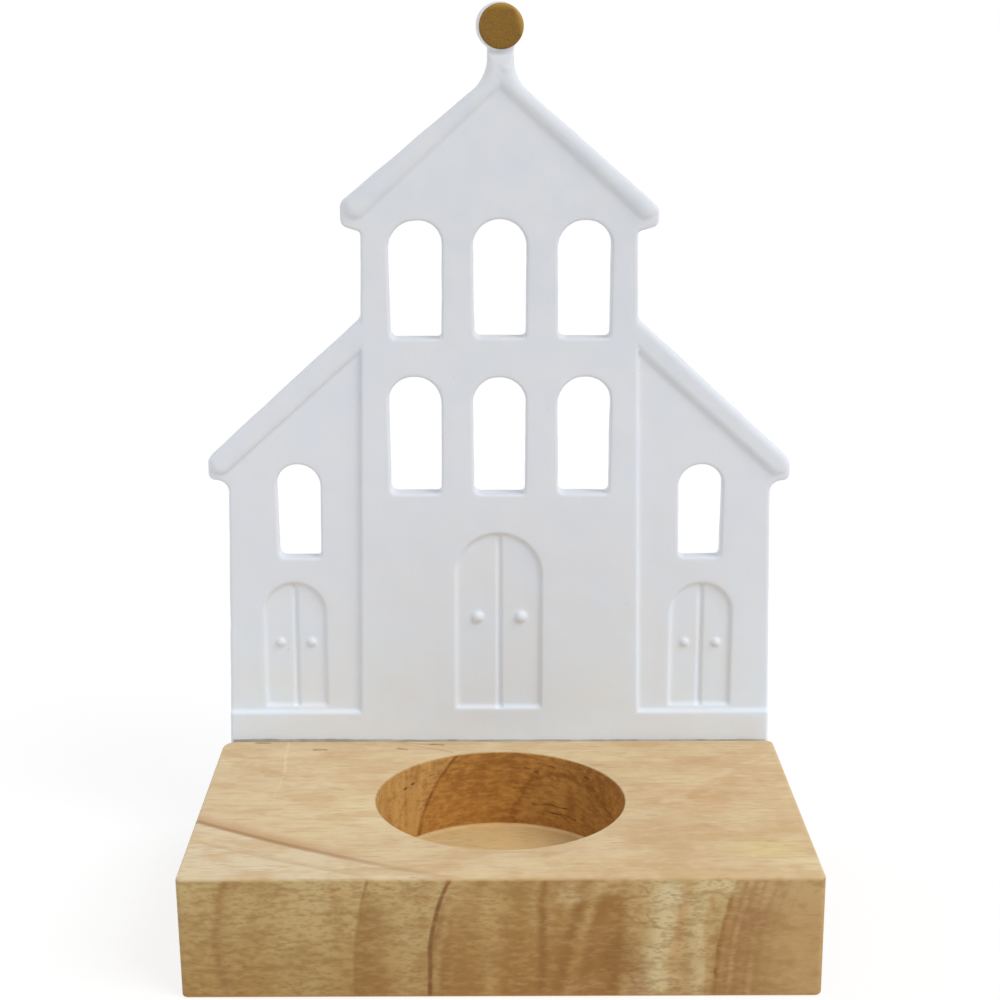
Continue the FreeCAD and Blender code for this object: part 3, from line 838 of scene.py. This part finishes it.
def pale_wood():
    """Oiled pale hardwood. Its growth rings pass through the block, so they meet where its faces meet."""
    wood = Finish(bpy.data.materials.new("pale_wood"))
    x, y, z = wood.x, wood.y, wood.z

    # The faces: what lies up, what lies in the pocket, the upright sides and the front among them.
    from_middle = (x * x + (y - POCKET_Y) * (y - POCKET_Y)).root()
    inside = from_middle.rise(POCKET_RADIUS + 0.45, POCKET_RADIUS + 0.15)
    inside = inside * z.rise(BLOCK_TOP + 0.05, BLOCK_TOP - 0.3) * z.rise(3.0, 4.0)
    pocket_floor = inside * z.rise(POCKET_FLOOR + 0.65, POCKET_FLOOR + 0.35)
    # The upper mask reaches down over the eased top arrises, so the top's pale tone lies on them: partly the wood's
    # colour, partly a painted highlight along the edges.
    upper = z.rise(BLOCK_TOP - 0.85, BLOCK_TOP - 0.05) * (1 - inside)
    under = z.rise(0.4, 0.1)
    sides = (1 - inside) * (1 - upper)
    front = y.rise(BLOCK_FRONT + 0.75, BLOCK_FRONT + 0.15) * sides

    # Uneven patterns: broad patches, long wisps, fibres and short dashes that run along the block.
    patches = wood.cloud(wood.stretched(11, 6.5, 6), 3.0, 0.55, 8.0)
    mottle = wood.cloud(wood.stretched(3.4, 2.4, 2.2), 2.0, 0.55, 3.0)
    wisps = wood.cloud(wood.stretched(9, 1.0, 1.6), 3.0, 0.6, 2.0)
    fibres = wood.cloud(wood.stretched(3.2, 0.42, 0.42), 2.0, 0.55, 5.0)
    crumpled = wood.flat(x + mottle * 1.5, y + mottle * 0.8, z + (patches + mottle) * 0.5)
    stretched = wood.stretched(1.1, 1.1, 0.42, crumpled)
    dashes = wood.add("ShaderNodeTexVoronoi", {}, {"Vector": stretched, "Scale": 1.0}, out="Distance")
    clusters = wood.cloud(wood.stretched(5, 3, 3), 1.0, 0.5, 29.0)
    grain = wood.cloud(wood.stretched(1.1, 1.1, 11), 2.0, 0.5, 37.0)
    freckles = wood.cloud(wood.stretched(1.7, 1.4, 0.62), 1.0, 0.5, 71.0)
    fine = wood.cloud(wood.stretched(0.5, 0.12, 0.12), 2.0, 0.6, 23.0)

    # The growth rings' edges lean to the left below, most at the right-hand one.
    lean = (1 - ((z - 6) / 14.3).most(0.0) ** 2.2) * 3.45
    sway = (wood.cloud(wood.stretched(16, 16, 10), 2.0, 0.5, 41.0) - 0.5) * 0.9
    ring = y - ring_line(x + lean + sway)
    left_ring = y - ring_line(x + lean * 0.667 + sway + 12.7)

    # The upper face: straw, paler in front of the ring and darker behind it, warmer to the right.
    up = wood.blend(x.rise(2, 28) * 0.8, top_tone(212, 190, 152), top_tone(209, 182, 140))
    up = wood.coats(
        up, top_tone,
        (x.rise(-20, -40) * y.rise(10, 20) * 0.6, (208, 183, 144)),
        (ring.rise(0.3, -0.5) * x.rise(-8, -14) * 0.85, (217, 202, 171)),
        (left_ring.rise(0.6, -1.6) * x.rise(-18, -24) * 0.5, (221, 209, 182)))
    up = upper_figure(wood, x, y, up)
    up = wood.coats(
        up, top_tone,
        (patches.rise(0.5, 0.64, 0.5), (221, 203, 163)),
        (patches.rise(0.5, 0.36, 0.55), (200, 166, 120)),
        (mottle.rise(0.5, 0.3, 0.2), (200, 164, 118)),
        (mottle.rise(0.5, 0.7, 0.3), (224, 206, 168)),
        (wisps.rise(0.53, 0.75, 0.25), (222, 206, 170)),
        (wisps.rise(0.5, 0.3, 0.45), (196, 160, 116)),
        (fibres.rise(0.48, 0.3) * clusters.rise(0.3, 0.62) * 0.5, (188, 150, 106)),
        (ring.rise(0.0, 0.4) * ring.rise(4.4, 0.6) * x.rise(-12, -34) * 0.85, (192, 155, 114)),
        (abs(ring).rise(1.1, 0.1) * x.rise(-7, -9) * x.rise(2, -40, 0.8), (154, 112, 72)),
        (left_ring.rise(-0.4, 0.1) * left_ring.rise(2.2, 0.0) * x.rise(-17, -26, 0.45), (192, 158, 116)))

    # The upright sides: tan, with an amber middle on the front. Both get darker towards the foot, partly the wood's
    # own tone and partly painted shade.
    side = wood.blend(z.rise(19, 1), front_tone(179, 154, 109), front_tone(161, 127, 78))
    amber = wood.blend(z.rise(19, 5), front_tone(177, 148, 103), front_tone(154, 113, 63))
    side = wood.blend(ring.rise(0.0, 0.5) * (x.rise(24, 20) * front + (1 - front) * 0.5), side, amber)
    zone = left_ring.rise(0.0, 0.1) * left_ring.rise(2.4, 0.4)
    side = wood.blend(zone * z.rise(20, 12) * 0.9, side, front_tone(140, 103, 58))
    zone = ring.rise(0.0, 0.1) * ring.rise(1.6, 0.5)
    side = wood.blend(zone * z.rise(19, 12) * 0.85, side, front_tone(136, 98, 52))
    side = wood.blend(front, side, front_figure(wood, x, z, side, wisps))
    side = wood.coats(
        side, front_tone,
        (freckles.rise(0.56, 0.3) * x.rise(50, 30, 0.42), (136, 98, 52)),
        (freckles.rise(0.48, 0.74) * 0.25, (186, 158, 112)),
        (abs(left_ring).rise(0.16, 0.03) * (0.45 + z.rise(15, 20) * 0.2), (130, 88, 48)),
        (abs(ring).rise(0.2, 0.05) * 0.85, (108, 64, 30)),
        (abs(ring).rise(0.34, 0.0) * z.rise(17.5, 20) * 0.5, (168, 100, 54)),
        (wisps.rise(0.5, 0.75, 0.25), (184, 156, 108)),
        (mottle.rise(0.5, 0.3) * 0.4, (142, 104, 58)),
        (patches.rise(0.48, 0.34) * 0.3, (150, 114, 68)),
        (wisps.rise(0.46, 0.34) * 0.3, (144, 108, 62)),
        (dashes.rise(0.5, 0.1) * clusters.rise(0.3, 0.6) * x.rise(46, 34, 0.35), (124, 88, 46)),
        (z.rise(1.0, 0.1) * 0.45, (176, 122, 66)))
    colour = wood.blend(upper, side, up)
    colour = wood.blend(under * 0.6, colour, front_tone(196, 168, 124))

    # The pocket: golden brown, with a paler floor.
    wall = pocket_wall(wood, x, z, patches, mottle, grain)
    wall = wood.coats(
        wall, well_tone,
        (mottle.rise(0.5, 0.3) * 0.5, (132, 82, 30)),
        (mottle.rise(0.5, 0.7) * 0.4, (176, 126, 62)),
        (freckles.rise(0.5, 0.3) * x.rise(-16, -13, 0.4), (118, 72, 24)),
        (freckles.rise(0.5, 0.72) * x.rise(-16, -13, 0.35), (186, 138, 74)),
        (dashes.rise(0.4, 0.1) * clusters.rise(0.35, 0.6) * 0.45, (104, 62, 22)),
        (wisps.rise(0.46, 0.34) * 0.4, (134, 86, 34)))
    # The floor's right part is painted paler, painted light that lifts the shadow the lamps leave there. The pale
    # line along the wall's foot at the right is a painted highlight.
    well = wood.blend(x.rise(-10, 4), shade(215, 189, 138), shade(230, 199, 142))
    well = wood.coats(
        well, shade,
        (wisps.rise(0.53, 0.66) * 0.5, (230, 200, 150)),
        (fibres.rise(0.48, 0.3) * 0.5, (190, 150, 92)),
        (from_middle.rise(20.5, 20.9) * x.rise(0, 6) * 0.6, (244, 216, 170)))
    colour = wood.blend(inside, colour, wood.blend(pocket_floor, wall, well))
    # Painted highlight: a pale line along the pocket's upper rim, stronger to the right.
    rim = from_middle.band(POCKET_RADIUS, POCKET_RADIUS + 0.4, 0.12) * z.rise(BLOCK_TOP - 0.3, BLOCK_TOP - 0.1)
    rim = rim * (x.rise(4, 14, 0.35) + 0.05)
    colour = wood.blend(rim, colour, shade(238, 218, 176))

    height_map = fibres * 0.5 + dashes.rise(0.1, 0.4) * 0.2 + fine * 0.25
    bump = wood.add("ShaderNodeBump", {}, {"Strength": 0.2, "Distance": 0.0001, "Height": height_map})
    rough = 0.46 + fibres * 0.16 + inside * 0.1
    return wood.finish_off({"Specular IOR Level": 0.4, "Base Color": colour, "Roughness": rough, "Normal": bump})


def gold_paint():
    """Brass-brown metallic paint, brushed on by hand, with fine grains."""
    finish = Finish(bpy.data.materials.new("gold_paint"))
    grains = finish.cloud(finish.stretched(0.22, 0.22, 0.22), 2.0, 0.6)
    strokes = finish.cloud(finish.stretched(1.6, 1.6, 0.5), 3.0, 0.6, 4.0)
    colour = finish.blend(strokes.rise(0.3, 0.7), shade(122, 87, 20), shade(134, 96, 25))
    colour = finish.coats(
        colour, shade,
        (grains.rise(0.5, 0.68) * 0.55, (166, 126, 50)),
        (grains.rise(0.48, 0.32) * 0.5, (104, 72, 20)),
        # Painted highlights: the last two coats give a paler band across the disc's top and a pale line at its right
        # edge.
        (finish.z.rise(149.4, 150.9) * 0.6, (178, 142, 54)),
        ((finish.x + finish.z * 0.3).rise(47.0, 48.0) * 0.6, (180, 140, 60)))
    bump = finish.add("ShaderNodeBump", {}, {"Strength": 0.35, "Distance": 0.00008, "Height": grains + strokes * 0.6})
    rough = 0.44 + grains * 0.2
    return finish.finish_off({"Metallic": 0.35, "Base Color": colour, "Roughness": rough, "Normal": bump})


def glue_with_crevice_shade():
    """Grey set glue, slightly glossy and cloudy. Its darker grey tone is partly the glue's own and partly painted
    shade of the crevice between the block and the casting.
    """
    finish = Finish(bpy.data.materials.new("glue_with_crevice_shade"))
    clouds = finish.cloud(finish.stretched(3, 3, 1.5), 3.0, 0.6)
    colour = finish.blend(clouds.rise(0.3, 0.7), shade(158, 148, 134), shade(188, 180, 168))
    bump = finish.add("ShaderNodeBump", {}, {"Strength": 0.3, "Distance": 0.0001, "Height": clouds})
    return finish.finish_off({"Base Color": colour, "Roughness": 0.35 + clouds * 0.2, "Normal": bump})


def dress(piece, material):
    """Gives a piece its one finish."""
    piece.data.materials.clear()
    piece.data.materials.append(material)


dress(porcelain_front, bisque_porcelain())
dress(wood, pale_wood())
dress(gold, gold_paint())
dress(glue, glue_with_crevice_shade())


# ---------- Stage, light and camera ----------

def seen_straight(finish):
    """One for what the camera, a reflection or glass sees, and zero for light that falls on the object."""
    camera = finish.add("ShaderNodeLightPath", out="Is Camera Ray")
    glossy = finish.add("ShaderNodeLightPath", out="Is Glossy Ray")
    through = finish.add("ShaderNodeLightPath", out="Is Transmission Ray")
    return camera.most(glossy).most(through)


put_down()
bpy.ops.mesh.primitive_plane_add(size=60, location=(0, 0, 0))
floor = bpy.context.object
floor.name = "floor"
sheet = Finish(bpy.data.materials.new("white_paper"))
paper = sheet.add("ShaderNodeBsdfDiffuse", {}, {"Color": shade(244, 244, 244)})
glow = sheet.add("ShaderNodeEmission", {}, {"Color": (1, 1, 1, 1), "Strength": 1.1})
mixed = sheet.add("ShaderNodeMixShader", {}, {0: seen_straight(sheet) * 0.72, 1: paper, 2: glow})
sheet.add("ShaderNodeOutputMaterial", {}, {"Surface": mixed})
dress(floor, sheet.holder)

room = bpy.data.worlds.new("studio")
bpy.context.scene.world = room
air = Finish(room)
dim = air.add("ShaderNodeBackground", {}, {"Color": (1, 1, 1, 1), "Strength": 0.36})
white = air.add("ShaderNodeBackground", {}, {"Color": (1, 1, 1, 1), "Strength": 1.0})
both = air.add("ShaderNodeMixShader", {}, {0: seen_straight(air), 1: dim, 2: white})
air.add("ShaderNodeOutputWorld", {}, {"Surface": both})


def lamp(name, comes_from, spread, strength):
    """Far, wide lamp that lights the whole stage evenly from one side."""
    put_down()
    bpy.ops.object.light_add(type="SUN", location=comes_from)
    light = bpy.context.object
    light.name = name
    light.data.angle = math.radians(spread)
    light.data.energy = strength
    light.rotation_euler = (-Vector(comes_from)).to_track_quat("-Z", "Y").to_euler()


# Lamps: where each comes from, how wide it is in degrees, and its strength.
lamp("key_lamp", (0.60, -0.42, 0.68), 36, 1.46)
lamp("fill_lamp", (-0.45, -0.85, 0.30), 50, 0.34)
lamp("top_lamp", (0.0, -0.1, 1.0), 70, 0.18)
lamp("left_edge_lamp", (-0.85, 0.35, 0.30), 50, 0.7)
lamp("right_edge_lamp", (0.85, 0.35, 0.30), 50, 0.5)

# The camera stands 0.3 m in front of the middle and looks down and a little to the right, by so many degrees.
CAMERA_PLACE, LOOKS_DOWN, TURNED_RIGHT = (-0.00222, -0.30386, 0.14774), 13.956, 0.404
put_down()
bpy.ops.object.camera_add(location=CAMERA_PLACE)
camera = bpy.context.object
camera.rotation_euler = (math.radians(90 - LOOKS_DOWN), 0, math.radians(-TURNED_RIGHT))
camera.data.lens = 69.24
camera.data.sensor_width = 36
camera.data.clip_start = 0.01
bpy.context.scene.camera = camera
bpy.context.scene.view_settings.view_transform = "Standard"
